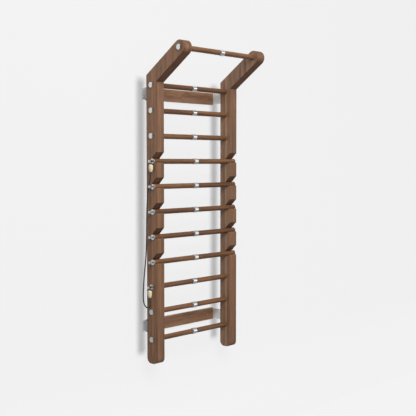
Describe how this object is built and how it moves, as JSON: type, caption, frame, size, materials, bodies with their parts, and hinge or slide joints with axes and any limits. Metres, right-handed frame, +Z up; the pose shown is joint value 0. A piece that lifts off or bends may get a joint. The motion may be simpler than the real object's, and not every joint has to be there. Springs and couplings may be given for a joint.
{
  "type": "wall bars",
  "caption": "Wall-mounted wooden exercise ladder with forward arms and a pull-up bar, lift-out bars in slanted notches and a hanging cord.",
  "frame": {"origin": "on the wall plane, at the centre of the rectangle of four wall bolts", "axes": "+Z up along the side panels, +Y into the wall, +X to the user's right when facing the wall"},
  "size_m": [0.9608, 0.5045, 2.4002],
  "materials": {
    "walnut_panel": "oiled laminated walnut",
    "walnut_rung": "oiled turned walnut",
    "walnut_board": "oiled walnut, grain along the board",
    "polished_steel": "polished stainless steel",
    "rod_steel": "plain drawn steel",
    "bracket_steel": "satin grey powder coat",
    "screw_steel": "zinc plated",
    "cord_black": "braided cover",
    "ferrule_cream": "moulded, satin"
  },
  "bodies": {
    "frame": {"side_panel_left": "walnut_panel", "pull_up_bar_wood_left": "walnut_rung", "rung_01_wood_left": "walnut_rung", "rung_02_wood_left": "walnut_rung", "rung_03_wood_left": "walnut_rung", "rung_09_wood_left": "walnut_rung", "rung_10_wood_left": "walnut_rung", "rung_11_wood_left": "walnut_rung", "wall_bracket_upper_left": "bracket_steel", "wall_bracket_lower_left": "bracket_steel", "side_panel_right": "walnut_panel", "pull_up_bar_wood_right": "walnut_rung", "rung_01_wood_right": "walnut_rung", "rung_02_wood_right": "walnut_rung", "rung_03_wood_right": "walnut_rung", "rung_09_wood_right": "walnut_rung", "rung_10_wood_right": "walnut_rung", "rung_11_wood_right": "walnut_rung", "wall_bracket_upper_right": "bracket_steel", "wall_bracket_lower_right": "bracket_steel", "rung_09_knob_caps": "polished_steel", "rung_sleeves": "polished_steel", "rung_end_caps": "polished_steel", "rung_tie_rods": "rod_steel", "wall_board_upper": "walnut_board", "wall_board_lower": "walnut_board", "cord_ferrule_lower": "ferrule_cream", "cord_loop_lower": "cord_black", "board_screws": "screw_steel", "panel_screws": "screw_steel", "cord": "cord_black"},
    "bar_04": {"bar_04_wood_left": "walnut_rung", "bar_04_wood_right": "walnut_rung", "bar_04_sleeve": "polished_steel", "bar_04_tie_rod": "rod_steel", "bar_04_knob_caps": "polished_steel", "cord_ferrule_upper": "ferrule_cream", "cord_loop_upper": "cord_black"},
    "bar_05": {"bar_05_wood_left": "walnut_rung", "bar_05_wood_right": "walnut_rung", "bar_05_sleeve": "polished_steel", "bar_05_tie_rod": "rod_steel", "bar_05_knob_caps": "polished_steel"},
    "bar_06": {"bar_06_wood_left": "walnut_rung", "bar_06_wood_right": "walnut_rung", "bar_06_sleeve": "polished_steel", "bar_06_tie_rod": "rod_steel", "bar_06_knob_caps": "polished_steel"},
    "bar_07": {"bar_07_wood_left": "walnut_rung", "bar_07_wood_right": "walnut_rung", "bar_07_sleeve": "polished_steel", "bar_07_tie_rod": "rod_steel", "bar_07_knob_caps": "polished_steel"},
    "bar_08": {"bar_08_wood_left": "walnut_rung", "bar_08_wood_right": "walnut_rung", "bar_08_sleeve": "polished_steel", "bar_08_tie_rod": "rod_steel", "bar_08_knob_caps": "polished_steel"}
  },
  "joints": [
    {"name": "bar_04_draw", "type": "slide", "parent": "frame", "child": "bar_04", "axis": [0, -0.7071, 0.7071], "range_m": [0, 0.12]},
    {"name": "bar_05_draw", "type": "slide", "parent": "frame", "child": "bar_05", "axis": [0, -0.7071, 0.7071], "range_m": [0, 0.12]},
    {"name": "bar_06_draw", "type": "slide", "parent": "frame", "child": "bar_06", "axis": [0, -0.7071, 0.7071], "range_m": [0, 0.12]},
    {"name": "bar_07_draw", "type": "slide", "parent": "frame", "child": "bar_07", "axis": [0, -0.7071, 0.7071], "range_m": [0, 0.12]},
    {"name": "bar_08_draw", "type": "slide", "parent": "frame", "child": "bar_08", "axis": [0, -0.7071, 0.7071], "range_m": [0, 0.12]}
  ]
}
